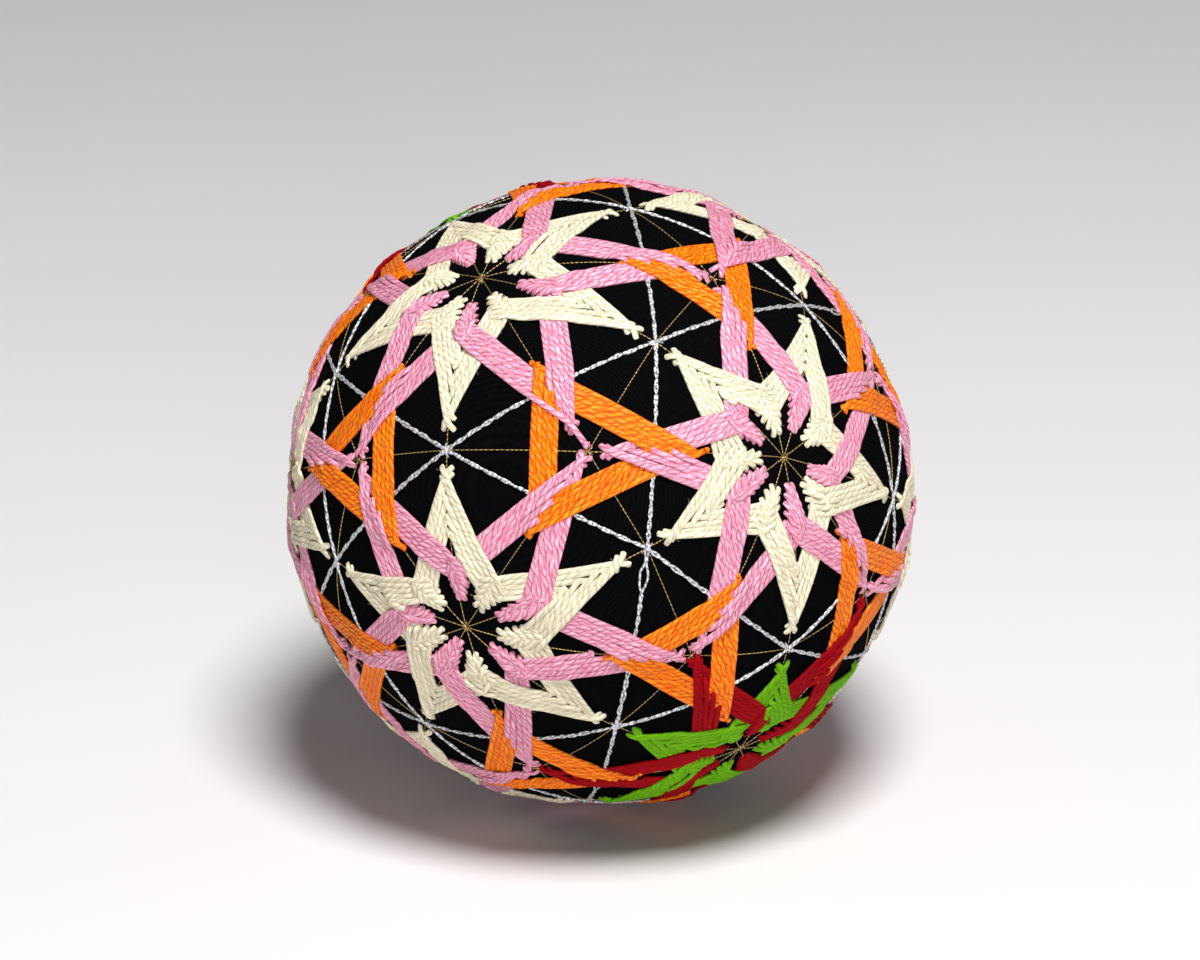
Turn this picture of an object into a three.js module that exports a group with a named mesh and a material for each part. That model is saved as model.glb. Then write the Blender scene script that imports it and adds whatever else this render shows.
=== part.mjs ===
// Temari ball: a thread-wound ball with woven stars and triangles of stitched thread.
// Millimetres, +Z up. The ball rests on its flat spot at Z = 0, with the origin under its
// centre, and its front faces -Y. Azimuths turn from the front towards +X.
import * as THREE from 'three';

// The wound ball and the flat spot on which it rests
const BALL_RADIUS = 43.5;
const BALL_CENTRE_HEIGHT = 44.1;
const PRESSED_BALL_HEIGHT = 1.7;
const BALL_FACETS_ROUND = 40;
const BALL_FACETS_DOWN = 20;

// A stitched band: its clearance over the ball and its thickness, in one layer or where
// it lies over another band, and the doubled thread at its corners
const CLEARANCE = 0.3;
const BAND_THICKNESS = 0.5;
const LAYER_STEP = BAND_THICKNESS + CLEARANCE;
const CORNER_THICKNESS = 1.0;
const CORNER_CLEARANCE = 0.46;
const CROSSING_MARGIN = 0.45;
const RAMP_LENGTH = 1.5;
const LONGEST_STEP = 5.8;

// Where the ball rests its bands are pressed flat: an upper layer against the table and a
// lower one above it. Sections lie closer together inside the pressed zone, which is a
// height in ball radii below the ball's centre.
const PRESSED_STEP = 0.7;
const PRESSED_THICKNESS = 0.45;
const PRESSED_ZONE = -0.95;
const PRESSED_LONGEST_STEP = 2.5;

// Lengths of the even rays from a star's centre: to a crossing mark between two stars and
// to the middle of three. Lengths on an uneven ray change in proportion.
const CROSSING_RAY = 24.08;
const MIDDLE_RAY = 28.36;

// Light star: rows of thread from combs on the middle rays to points on the crossing rays.
// First and last are the first and last stitched row, measured from the star's centre at
// the comb and back from the ray's far end at the point.
const LIGHT_STAR = {
  combRay: MIDDLE_RAY, combFirst: 3.5, combLast: 10.8, kneeOut: 6.2, kneeAside: 2.0,
  pointRay: CROSSING_RAY, pointFirst: 10.2, pointLast: 1.2,
};
// Dark star: combs on the crossing rays and points on the middle rays
const DARK_STAR = {
  combRay: CROSSING_RAY, combFirst: 3.8, combLast: 10.9, kneeOut: 7.2, kneeAside: 1.3,
  pointRay: MIDDLE_RAY, pointFirst: 6.6, pointLast: 1.0,
};
// Triangle: corners on the rays to the three stars. The side's inner edge would meet the
// ray at innerCorner, and is cut off towards cornerFirst over a share of its length.
const TRIANGLE = { innerCorner: 7.6, cutShare: 0.16, cornerFirst: 9.8, cornerLast: 15.0 };

// Division of the ball: twelve star centres. The near star faces the front, five lie
// round it, five more lie round the far star, and the bearings turn clockwise from up.
const NEAR_STAR = { azimuth: 37.0, elevation: 22.7 };
const FIRST_BEARING = 36.9;
const STAR_SPACING = Math.acos(1 / Math.sqrt(5));
const NEAR_NAME = 'B';
const RING_NAMES = ['E', 'G', 'D', 'C', 'A'];
const FAR_RING_NAMES = ['I', 'J', 'H', 'F', 'N'];
const FAR_NAME = 'K';

// Hand division drifts: how far each mark sits from its even place, in mm to the right
// and up as seen from outside the ball
const DRIFTS = [
  { at: 'A', right: -2.5, up: 0.6 },
  { at: 'B', right: 0.6, up: 0.3 },
  { at: 'C', right: -1.8, up: -1.2 },
  { at: 'D', right: -1.1, up: 2.0 },
  { at: 'ABC', right: 1.2, up: -1.0 },
  { at: 'BCD', right: 0.9, up: -1.5 },
  { at: 'ABE', right: 1.7, up: -0.9 },
  { at: 'ACF', right: -1.8, up: -1.7 },
  { at: 'AC', right: -2.4, up: -1.2 },
  { at: 'AB', right: 1.9, up: 1.0 },
  { at: 'BC', right: 1.6, up: 0.1 },
  { at: 'BD', right: 0.1, up: -2.8 },
  { at: 'CD', right: 0.3, up: -0.3 },
  { at: 'AF', right: -2.6, up: -2.8 },
  { at: 'CF', right: -1.5, up: -1.2 },
  { at: 'AE', right: 0.2, up: 1.0 },
  { at: 'BE', right: 2.1, up: 0.6 },
  { at: 'BG', right: 0.8, up: -2.4 },
  { at: 'CH', right: -1.6, up: 0.2 },
];

// Colourways: two opposite stars are green and dark red, the other ten cream and pink
const SECOND_COLOURWAY = ['D', 'N'];

// Directions on the ball are unit vectors from its centre
function direction(azimuthDegrees, elevationDegrees) {
  const azimuth = THREE.MathUtils.degToRad(azimuthDegrees);
  const elevation = THREE.MathUtils.degToRad(elevationDegrees);
  return new THREE.Vector3(
    Math.sin(azimuth) * Math.cos(elevation),
    -Math.cos(azimuth) * Math.cos(elevation),
    Math.sin(elevation),
  );
}

function rightOf(place) {
  return new THREE.Vector3(0, 0, 1).cross(place).normalize();
}

function upOf(place) {
  return place.clone().cross(rightOf(place));
}

// Moves a direction sideways over the ball by a tangent, given as a length in mm
function moved(place, tangent, length) {
  const angle = length / BALL_RADIUS;
  const unit = tangent.clone().normalize();
  return place.clone().multiplyScalar(Math.cos(angle)).addScaledVector(unit, Math.sin(angle));
}

function atBearing(place, bearingDegrees, angle) {
  const bearing = THREE.MathUtils.degToRad(bearingDegrees);
  const tangent = upOf(place).multiplyScalar(Math.cos(bearing));
  tangent.addScaledVector(rightOf(place), Math.sin(bearing));
  return moved(place, tangent, angle * BALL_RADIUS);
}

function distance(from, to) {
  return from.angleTo(to) * BALL_RADIUS;
}

// The direction that lies a given length along the ball from one place towards another
function along(from, to, length) {
  const tangent = to.clone().addScaledVector(from, -from.dot(to));
  return moved(from, tangent, length);
}

// The same, then set aside from the ray, towards a third place
function aside(from, to, length, sideways, towards) {
  const place = along(from, to, length);
  const across = from.clone().cross(to).normalize();
  if (across.dot(towards) < 0) {
    across.negate();
  }
  return moved(place, across, sideways);
}

function drifted(name, place) {
  const drift = DRIFTS.find((row) => row.at === name);
  if (!drift) {
    return place;
  }
  const tangent = rightOf(place).multiplyScalar(drift.right).addScaledVector(upOf(place), drift.up);
  return moved(place, tangent, tangent.length());
}

// Star centres by name, first evenly spaced
function evenStars() {
  const near = direction(NEAR_STAR.azimuth, NEAR_STAR.elevation);
  const stars = { [NEAR_NAME]: near };
  for (let turn = 0; turn < 5; turn += 1) {
    const bearing = FIRST_BEARING + turn * 72;
    stars[RING_NAMES[turn]] = atBearing(near, bearing, STAR_SPACING);
    stars[FAR_RING_NAMES[turn]] = atBearing(near, bearing + 36, Math.PI - STAR_SPACING);
  }
  stars[FAR_NAME] = near.clone().negate();
  return stars;
}

const EVEN = evenStars();
const STARS = Object.fromEntries(
  Object.entries(EVEN).map(([name, place]) => [name, drifted(name, place)]),
);

// A mark shared by two or three stars: the ray crossing of a pair or the middle of three
function sharedMark(names) {
  const name = [...names].sort().join('');
  const hasOwnDrift = DRIFTS.some((row) => row.at === name);
  const source = hasOwnDrift ? EVEN : STARS;
  const middle = new THREE.Vector3();
  names.forEach((star) => middle.add(source[star]));
  return drifted(name, middle.normalize());
}

// The five neighbours of a star, in clockwise order as seen from outside
function neighbours(name) {
  const centre = EVEN[name];
  const close = Object.keys(EVEN).filter((other) => {
    const angle = centre.angleTo(EVEN[other]);
    return angle > 0.1 && angle < STAR_SPACING + 0.1;
  });
  const bearing = (other) => {
    const place = EVEN[other];
    return Math.atan2(place.dot(rightOf(centre)), place.dot(upOf(centre)));
  };
  return close.sort((one, two) => bearing(one) - bearing(two));
}

// An edge of a band is a path of directions. A place on it is a number: the whole part
// names the stretch and the fraction runs along that stretch.
function placeOn(path, position) {
  const stretch = Math.min(Math.floor(position), path.length - 2);
  const from = path[stretch];
  const to = path[stretch + 1];
  return along(from, to, distance(from, to) * (position - stretch));
}

function positionAfter(path, position, length) {
  const stretch = Math.min(Math.floor(position), path.length - 2);
  const share = length / distance(path[stretch], path[stretch + 1]);
  return THREE.MathUtils.clamp(position + share, 0, path.length - 1);
}

// Where one edge crosses another, as a position on the first
function crossing(path, other) {
  for (let i = 0; i < path.length - 1; i += 1) {
    for (let j = 0; j < other.length - 1; j += 1) {
      const plane = path[i].clone().cross(path[i + 1]);
      const otherPlane = other[j].clone().cross(other[j + 1]);
      const meeting = plane.cross(otherPlane).normalize();
      if (meeting.dot(path[i]) < 0) {
        meeting.negate();
      }
      const length = distance(path[i], path[i + 1]);
      const otherLength = distance(other[j], other[j + 1]);
      const onPath = distance(path[i], meeting) + distance(meeting, path[i + 1]) - length;
      const onOther = distance(other[j], meeting) + distance(meeting, other[j + 1]) - otherLength;
      if (onPath < 1e-6 && onOther < 1e-6) {
        return i + distance(path[i], meeting) / length;
      }
    }
  }
  return null;
}

// The stretch of an edge that lies over another band, with a margin at both ends
function overlap(path, band) {
  const ends = [crossing(path, band.first), crossing(path, band.last)];
  ends.sort((one, two) => one - two);
  return {
    start: positionAfter(path, ends[0], -CROSSING_MARGIN),
    end: positionAfter(path, ends[1], CROSSING_MARGIN),
  };
}

// Heights over the ball of a section's lower and upper face
const BASE = { low: CLEARANCE, high: CLEARANCE + BAND_THICKNESS };
const OVER = { low: CLEARANCE + LAYER_STEP, high: CLEARANCE + LAYER_STEP + BAND_THICKNESS };
const HALF_OVER = { low: CLEARANCE + LAYER_STEP / 2, high: BASE.high + LAYER_STEP / 2 };
const CORNER = { low: CORNER_CLEARANCE, high: CLEARANCE + CORNER_THICKNESS };

// A section spans a band from its first edge to its last edge
function section(firstPosition, lastPosition, firstHeight, lastHeight = firstHeight) {
  return { firstPosition, lastPosition, firstHeight, lastHeight };
}

// The band that joins one comb to one point of a star
function starBand(shape, centre, combEnd, pointEnd) {
  const reach = distance(centre, pointEnd);
  const combScale = distance(centre, combEnd) / shape.combRay;
  const pointScale = reach / shape.pointRay;
  return {
    first: [
      along(centre, combEnd, shape.combFirst * combScale),
      aside(centre, combEnd, shape.kneeOut * combScale, shape.kneeAside, pointEnd),
      along(centre, pointEnd, reach - shape.pointFirst * pointScale),
    ],
    last: [
      along(centre, combEnd, shape.combLast * combScale),
      along(centre, pointEnd, reach - shape.pointLast * pointScale),
    ],
  };
}

function triangleSide(middle, fromStar, toStar) {
  const fromScale = distance(middle, fromStar) / MIDDLE_RAY;
  const toScale = distance(middle, toStar) / MIDDLE_RAY;
  const inner = [
    along(middle, fromStar, TRIANGLE.innerCorner * fromScale),
    along(middle, toStar, TRIANGLE.innerCorner * toScale),
  ];
  return {
    first: [
      along(middle, fromStar, TRIANGLE.cornerFirst * fromScale),
      placeOn(inner, TRIANGLE.cutShare),
      placeOn(inner, 1 - TRIANGLE.cutShare),
      along(middle, toStar, TRIANGLE.cornerFirst * toScale),
    ],
    last: [
      along(middle, fromStar, TRIANGLE.cornerLast * fromScale),
      along(middle, toStar, TRIANGLE.cornerLast * toScale),
    ],
  };
}

// Sections of the stretch that another band covers or is covered by, at one height
function across(band, other, height) {
  const first = overlap(band.first, other);
  const last = overlap(band.last, other);
  return [section(first.start, last.start, height), section(first.end, last.end, height)];
}

function shifted(band, row, length, height) {
  return section(
    positionAfter(band.first, row.firstPosition, length),
    positionAfter(band.last, row.lastPosition, length),
    height,
  );
}

// From comb to point: under another band half way
function underHalfWay(band, covering) {
  return [section(0, 0, CORNER), ...across(band, covering, BASE), section(2, 1, CORNER)];
}

// Over another band just after its comb, and flat up to its point
function overAfterComb(band, under, comb = CORNER) {
  const [, end] = across(band, under, OVER);
  const lastStart = overlap(band.last, under).start;
  return [
    section(0, 0, CORNER, comb),
    section(1, lastStart, OVER),
    end,
    shifted(band, end, RAMP_LENGTH, BASE),
    section(2, 1, CORNER),
  ];
}

// Over one band just after its comb, then under another one before its point
function overThenUnder(band, under, covering) {
  const rows = overAfterComb(band, under, BASE);
  const point = rows.pop();
  const [, end] = across(band, covering, BASE);
  return [...rows, end, point];
}

// Flat at its comb, then over another band before its point
function overBeforePoint(band, under) {
  const [start, end] = across(band, under, OVER);
  return [
    section(0, 0, CORNER, BASE),
    section(1, 0.2, BASE),
    shifted(band, start, -RAMP_LENGTH, BASE),
    start,
    end,
    section(2, 1, CORNER),
  ];
}

// A triangle's side: under the band near its first corner and over the one near its second
function sideSections(side, covering, under) {
  const covered = section(
    crossing(side.first, covering.first),
    crossing(side.last, covering.first),
    BASE,
  );
  const [start, end] = across(side, under, OVER);
  return [
    section(0, 0, HALF_OVER, CORNER),
    shifted(side, covered, -CROSSING_MARGIN, BASE),
    shifted(side, start, -RAMP_LENGTH, BASE),
    start,
    end,
    section(3, 1, HALF_OVER, CORNER),
  ];
}

function mixed(one, two, share) {
  return {
    low: THREE.MathUtils.lerp(one.low, two.low, share),
    high: THREE.MathUtils.lerp(one.high, two.high, share),
  };
}

function between(from, to, share) {
  return section(
    THREE.MathUtils.lerp(from.firstPosition, to.firstPosition, share),
    THREE.MathUtils.lerp(from.lastPosition, to.lastPosition, share),
    mixed(from.firstHeight, to.firstHeight, share),
    mixed(from.lastHeight, to.lastHeight, share),
  );
}

// The sections after one and up to the next: one at each bend of the first edge, and as
// many more as keep the steps short, so that the band follows the ball
function sectionsUpTo(band, from, to) {
  const bend = Math.floor(from.firstPosition + 1e-6) + 1;
  if (bend < to.firstPosition - 1e-6) {
    const share = (bend - from.firstPosition) / (to.firstPosition - from.firstPosition);
    const middle = between(from, to, share);
    return [...sectionsUpTo(band, from, middle), ...sectionsUpTo(band, middle, to)];
  }
  const firstStart = placeOn(band.first, from.firstPosition);
  const firstEnd = placeOn(band.first, to.firstPosition);
  const lastStart = placeOn(band.last, from.lastPosition);
  const lastEnd = placeOn(band.last, to.lastPosition);
  const length = Math.max(distance(firstStart, firstEnd), distance(lastStart, lastEnd));
  const lowest = Math.min(firstStart.z, firstEnd.z, lastStart.z, lastEnd.z);
  const longest = lowest < PRESSED_ZONE ? PRESSED_LONGEST_STEP : LONGEST_STEP;
  const steps = Math.ceil(length / longest);
  const result = [];
  for (let step = 1; step <= steps; step += 1) {
    result.push(between(from, to, step / steps));
  }
  return result;
}

function filled(band, sections) {
  const result = [sections[0]];
  for (let i = 1; i < sections.length; i += 1) {
    result.push(...sectionsUpTo(band, sections[i - 1], sections[i]));
  }
  return result;
}

// A point of a band, pressed up where the ball rests on its flat spot
function bandPoint(place, height, face) {
  const point = place.clone().multiplyScalar(BALL_RADIUS + height[face]);
  point.z += BALL_CENTRE_HEIGHT;
  const level = THREE.MathUtils.clamp((height.low - BASE.low) / LAYER_STEP, 0, 1);
  const floorHeight = face === 'high' ? 0 : PRESSED_THICKNESS;
  const doubled = height.high - height.low > BAND_THICKNESS + 0.1;
  const layerHeight = doubled && face === 'high' ? 0 : PRESSED_STEP * (1 - level);
  point.z = Math.max(point.z, layerHeight + floorHeight);
  return point;
}

// One closed ring of sections as a solid
function ringGeometry(rings) {
  const points = [];
  rings.forEach(({ band, sections, backwards }) => {
    const rows = filled(band, sections);
    const inOrder = backwards ? rows.reverse() : rows;
    inOrder.slice(0, -1).forEach((row) => {
      const first = placeOn(band.first, row.firstPosition);
      const last = placeOn(band.last, row.lastPosition);
      points.push(bandPoint(first, row.firstHeight, 'low'));
      points.push(bandPoint(last, row.lastHeight, 'low'));
      points.push(bandPoint(last, row.lastHeight, 'high'));
      points.push(bandPoint(first, row.firstHeight, 'high'));
    });
  });
  const count = points.length / 4;
  const triangles = [];
  for (let row = 0; row < count; row += 1) {
    const next = (row + 1) % count;
    for (let corner = 0; corner < 4; corner += 1) {
      const after = (corner + 1) % 4;
      const near = row * 4 + corner;
      const nearAfter = row * 4 + after;
      const far = next * 4 + corner;
      const farAfter = next * 4 + after;
      triangles.push(near, nearAfter, far, nearAfter, farAfter, far);
    }
  }
  const geometry = new THREE.BufferGeometry().setFromPoints(points);
  geometry.setIndex(outward(points, triangles));
  return geometry;
}

// Turns the triangles over if they face inwards
function outward(points, triangles) {
  let volume = 0;
  for (let i = 0; i < triangles.length; i += 3) {
    const [one, two, three] = [0, 1, 2].map((corner) => points[triangles[i + corner]]);
    volume += one.dot(two.clone().cross(three));
  }
  return volume > 0 ? triangles : triangles.reverse();
}

// The rays and bands of one star: left and right are as seen from outside with the
// crossing mark up
function starParts(name) {
  const centre = STARS[name];
  const around = neighbours(name);
  const rays = around.map((other, index) => {
    const next = around[(index + 1) % 5];
    const previous = around[(index + 4) % 5];
    return {
      crossingMark: sharedMark([name, other]),
      leftMiddle: sharedMark([name, previous, other]),
      rightMiddle: sharedMark([name, other, next]),
      leftNames: [name, previous, other],
      rightNames: [name, other, next],
      other,
    };
  });
  return rays.map((ray) => ({
    ...ray,
    lightLeft: starBand(LIGHT_STAR, centre, ray.leftMiddle, ray.crossingMark),
    lightRight: starBand(LIGHT_STAR, centre, ray.rightMiddle, ray.crossingMark),
    darkLeft: starBand(DARK_STAR, centre, ray.crossingMark, ray.leftMiddle),
    darkRight: starBand(DARK_STAR, centre, ray.crossingMark, ray.rightMiddle),
  }));
}

function lightStarGeometry(name) {
  const rings = [];
  starParts(name).forEach((ray) => {
    rings.push({ band: ray.lightLeft, sections: underHalfWay(ray.lightLeft, ray.darkLeft) });
    const right = overAfterComb(ray.lightRight, ray.darkRight);
    rings.push({ band: ray.lightRight, sections: right, backwards: true });
  });
  return ringGeometry(rings);
}

function darkStarGeometry(name) {
  const rings = [];
  starParts(name).forEach((ray) => {
    const leftSide = triangleSide(ray.leftMiddle, STARS[name], STARS[ray.other]);
    const left = overThenUnder(ray.darkLeft, ray.lightLeft, leftSide);
    rings.push({ band: ray.darkLeft, sections: left, backwards: true });
    const rightSide = triangleSide(ray.rightMiddle, STARS[name], STARS[ray.other]);
    const right = overBeforePoint(ray.darkRight, rightSide);
    rings.push({ band: ray.darkRight, sections: right });
  });
  return ringGeometry(rings);
}

// The dark band of a star that reaches a triangle's middle from one or the other side
function bandTowards(star, corners, part) {
  const key = part === 'darkLeft' ? 'leftNames' : 'rightNames';
  const wanted = [...corners].sort().join('');
  return starParts(star).find((ray) => [...ray[key]].sort().join('') === wanted)[part];
}

function triangleGeometry(corners) {
  const middle = sharedMark(corners);
  const rings = corners.map((from, index) => {
    const to = corners[(index + 1) % 3];
    const side = triangleSide(middle, STARS[from], STARS[to]);
    const covering = bandTowards(from, corners, 'darkRight');
    const under = bandTowards(to, corners, 'darkLeft');
    return { band: side, sections: sideSections(side, covering, under) };
  });
  return ringGeometry(rings);
}

// All triangles of three neighbouring stars, corners in clockwise order from outside
function triangles() {
  const found = [];
  Object.keys(EVEN).forEach((name) => {
    const around = neighbours(name);
    around.forEach((other, index) => {
      const corners = [name, other, around[(index + 1) % 5]];
      if (name < corners[1] && name < corners[2]) {
        found.push(corners);
      }
    });
  });
  return found;
}

// The wound ball: round, with the flat under it where it rests
function ballGeometry() {
  const flatAngle = Math.acos((BALL_CENTRE_HEIGHT - PRESSED_BALL_HEIGHT) / BALL_RADIUS);
  const profile = [new THREE.Vector2(0, PRESSED_BALL_HEIGHT)];
  for (let step = 0; step <= BALL_FACETS_DOWN; step += 1) {
    const angle = THREE.MathUtils.lerp(flatAngle, Math.PI, step / BALL_FACETS_DOWN);
    const radius = step === BALL_FACETS_DOWN ? 0 : BALL_RADIUS * Math.sin(angle);
    profile.push(new THREE.Vector2(radius, BALL_CENTRE_HEIGHT - BALL_RADIUS * Math.cos(angle)));
  }
  return new THREE.LatheGeometry(profile, BALL_FACETS_ROUND).rotateX(Math.PI / 2);
}

function cloth(color, roughness) {
  return new THREE.MeshStandardMaterial({ color, roughness, metalness: 0 });
}

const MATERIALS = {
  ball: cloth(0x0c0c0f, 0.9),
  cream: cloth(0xeee7cc, 0.85),
  green: cloth(0x6aa31c, 0.7),
  pink: cloth(0xe58fb0, 0.5),
  red: cloth(0x8e0f1e, 0.6),
  orange: cloth(0xff7d1a, 0.5),
};

function named(name, geometry, material) {
  const mesh = new THREE.Mesh(geometry, material);
  mesh.name = name;
  return mesh;
}

const temari = new THREE.Group();
temari.add(named('wound_ball', ballGeometry(), MATERIALS.ball));
Object.keys(EVEN).sort().forEach((name) => {
  const second = SECOND_COLOURWAY.includes(name);
  const light = second ? 'green' : 'cream';
  const dark = second ? 'red' : 'pink';
  temari.add(named(`${light}_star_${name}`, lightStarGeometry(name), MATERIALS[light]));
  temari.add(named(`${dark}_star_${name}`, darkStarGeometry(name), MATERIALS[dark]));
});
triangles().forEach((corners) => {
  const name = `orange_triangle_${[...corners].sort().join('')}`;
  temari.add(named(name, triangleGeometry(corners), MATERIALS.orange));
});

export default temari;
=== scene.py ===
"""Temari ball: a ball wound in black thread and stitched all over with stars and triangles.

Every stitched thread is its own strand. Its way over the ball is worked out from the same
division of the ball as the frame's solids, then the strands are laid over one another in
the order in which they were stitched. Metres, +Z up, the ball rests on Z = 0.
"""

import math
from dataclasses import dataclass, field

import bpy
import numpy as np
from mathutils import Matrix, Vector
from mathutils.kdtree import KDTree


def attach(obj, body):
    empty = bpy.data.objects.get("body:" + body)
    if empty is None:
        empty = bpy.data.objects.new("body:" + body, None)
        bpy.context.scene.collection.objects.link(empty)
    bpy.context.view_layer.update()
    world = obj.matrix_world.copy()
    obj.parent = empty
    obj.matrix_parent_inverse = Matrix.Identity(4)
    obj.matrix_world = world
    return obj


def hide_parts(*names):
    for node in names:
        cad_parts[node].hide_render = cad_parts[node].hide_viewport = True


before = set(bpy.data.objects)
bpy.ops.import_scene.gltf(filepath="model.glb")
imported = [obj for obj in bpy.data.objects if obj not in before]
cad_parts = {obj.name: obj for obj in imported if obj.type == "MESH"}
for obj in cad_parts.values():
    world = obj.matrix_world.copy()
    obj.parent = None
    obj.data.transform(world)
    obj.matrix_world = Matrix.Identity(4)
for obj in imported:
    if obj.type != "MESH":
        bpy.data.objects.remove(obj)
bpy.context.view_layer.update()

MM = 0.001

# The wound ball and the flat spot that it rests on
BALL_RADIUS = 43.5 * MM
BALL_CENTRE = np.array([0.0, 0.0, 44.1 * MM])
PRESSED_BALL_HEIGHT = 1.7 * MM

# Stitching thread, slightly flattened where it lies on the ball
THREAD_HALF_WIDTH = 0.42 * MM
THREAD_HALF_HEIGHT = 0.25 * MM
ROWS = 5
MIDDLE_ROW = (ROWS - 1) / 2

# Even rays of the division, from a star's centre
CROSSING_RAY = 24.08 * MM
MIDDLE_RAY = 28.36 * MM


@dataclass
class StarStitch:
    """Sizes of a star's rows. Each pair is the first row's value and the step to the next.

    Comb places are measured from the star's centre along the comb's ray. A point's last row
    aims at the place short_of_mark before the point's mark, but goes into the winding
    end_before_mark. Each row's stitch runs on past its crossing of the ray. Pitches are
    those of the rows side by side in a band, at its two ends.
    """

    comb_ray: float
    comb_tooth: tuple
    comb_aside: tuple
    comb_crossing: tuple
    short_of_mark: float
    end_before_mark: float
    point_tooth: float
    point_asides: tuple
    pitches: tuple
    pitch_places: tuple


LIGHT_STITCH = StarStitch(
    comb_ray=MIDDLE_RAY,
    comb_tooth=(3.6 * MM, 1.10 * MM),
    comb_aside=(0.7 * MM, 0.44 * MM),
    comb_crossing=(6.1 * MM, 1.04 * MM),
    short_of_mark=1.6 * MM,
    end_before_mark=2.2 * MM,
    point_tooth=1.2 * MM,
    point_asides=(0.4 * MM, 0.5 * MM, 0.75 * MM, 1.0 * MM, 1.05 * MM),
    pitches=(0.73 * MM, 0.71 * MM),
    pitch_places=(0.3, 0.75),
)
DARK_STITCH = StarStitch(
    comb_ray=CROSSING_RAY,
    comb_tooth=(3.7 * MM, 1.02 * MM),
    comb_aside=(0.5 * MM, 0.3 * MM),
    comb_crossing=(7.3 * MM, 0.82 * MM),
    short_of_mark=-0.7 * MM,
    end_before_mark=0.6 * MM,
    point_tooth=1.0 * MM,
    point_asides=(0.2 * MM, 0.4 * MM, 0.65 * MM, 0.95 * MM, 1.0 * MM),
    pitches=(0.73 * MM, 0.72 * MM),
    pitch_places=(0.25, 0.66),
)

# Triangle rows: the pitch, and how far each row's stitch runs past its corner's ray
SIDE_PITCH = 0.74 * MM
SIDE_STATIONS = (0.2, 0.5, 0.8)
CORNER_ASIDES = (0.4 * MM, 0.55 * MM, 0.65 * MM, 0.7 * MM, 0.4 * MM)
CORNER_TOOTH = 0.9 * MM

# Division of the ball, as in the solids
NEAR_STAR = {"azimuth": 37.0, "elevation": 22.7}
FIRST_BEARING = 36.9
STAR_SPACING = math.acos(1 / math.sqrt(5))
NEAR_NAME = "B"
RING_NAMES = ["E", "G", "D", "C", "A"]
FAR_RING_NAMES = ["I", "J", "H", "F", "N"]
FAR_NAME = "K"
SECOND_COLOURWAY = ["D", "N"]

# How far each mark sits from its even place, in mm to the right and up from outside
DRIFTS = {
    "A": (-2.5, 0.6),
    "B": (0.6, 0.3),
    "C": (-1.8, -1.2),
    "D": (-1.1, 2.0),
    "ABC": (1.2, -1.0),
    "BCD": (0.9, -1.5),
    "ABE": (1.7, -0.9),
    "ACF": (-1.8, -1.7),
    "AC": (-2.4, -1.2),
    "AB": (1.9, 1.0),
    "BC": (1.6, 0.1),
    "BD": (0.1, -2.8),
    "CD": (0.3, -0.3),
    "AF": (-2.6, -2.8),
    "CF": (-1.5, -1.2),
    "AE": (0.2, 1.0),
    "BE": (2.1, 0.6),
    "BG": (0.8, -2.4),
    "CH": (-1.6, 0.2),
}

# Combs that were begun nearer or further out than the rest, or off their rays: the first
# tooth and the last crossing, in mm from the star's centre, and the turn in degrees
# clockwise
COMBS = {
    "A": {
        "AE": (4.0, 10.3, 2), "ABE": (3.6, 9.5, -4), "AB": (5.8, 12.4, -3),
        "ABC": (3.9, 9.4, 0), "AC": (4.1, 11.2, -2), "ACF": (3.5, 9.8, -6),
        "AF": (4.9, 11.2, -5), "AFN": (3.9, 9.4, -10), "AN": (3.8, 9.0, -5),
        "AEN": (3.0, 8.6, 5),
    },
    "B": {
        "BE": (3.7, 11.0, 1), "BEG": (4.2, 9.9, 0), "BG": (4.3, 10.0, 8),
        "BDG": (4.2, 10.8, 0), "BD": (3.3, 11.6, -1), "BCD": (3.9, 10.8, 0),
        "BC": (3.1, 10.4, 0), "ABC": (3.2, 10.4, -5), "AB": (3.6, 10.2, -12),
        "ABE": (2.8, 9.8, -6),
    },
    "C": {
        "AC": (3.7, 9.6, 4), "ABC": (3.3, 9.1, 0), "BC": (4.7, 12.9, 2),
        "BCD": (4.2, 11.0, -4), "CD": (3.9, 10.2, -3), "CDH": (3.6, 10.2, 4),
        "CH": (2.2, 9.6, 3), "CFH": (3.5, 10.4, 3), "CF": (4.6, 10.6, -5),
        "ACF": (3.8, 9.2, -8),
    },
    "D": {
        "BCD": (2.9, 8.4, 0), "BD": (3.0, 9.0, -3), "BDG": (3.8, 9.6, -10),
        "CD": (2.4, 8.8, 0), "CDH": (3.6, 9.4, 0),
    },
}

# The rows' pitch across a point, and their least step along it where they end
POINT_PITCH = 0.68 * MM
POINT_END_STEP = 0.65 * MM

# Points that aim nearer or further out than the rest, in mm outwards
POINT_SHIFTS = {
    ("A", "ABC"): -1.3,
    ("B", "ABC"): -1.0,
    ("C", "BC"): -0.4,
}

# Points whose last stitch ends nearer to the mark, or further from it: mm before the mark
POINT_ENDS = {
    ("A", "ABC"): 3.2, ("B", "ABC"): 1.6, ("C", "ABC"): 0.2,
    ("A", "ABE"): 0.5, ("B", "ABE"): 1.5, ("E", "ABE"): 1.3,
    ("A", "ACF"): 0.2, ("C", "ACF"): 0.9, ("F", "ACF"): 0.9,
    ("C", "BCD"): 0.9, ("B", "BCD"): 0.5, ("D", "BCD"): 0.1,
    ("A", "AC"): 2.5, ("C", "AC"): 2.0, ("C", "BC"): 2.7,
}

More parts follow.
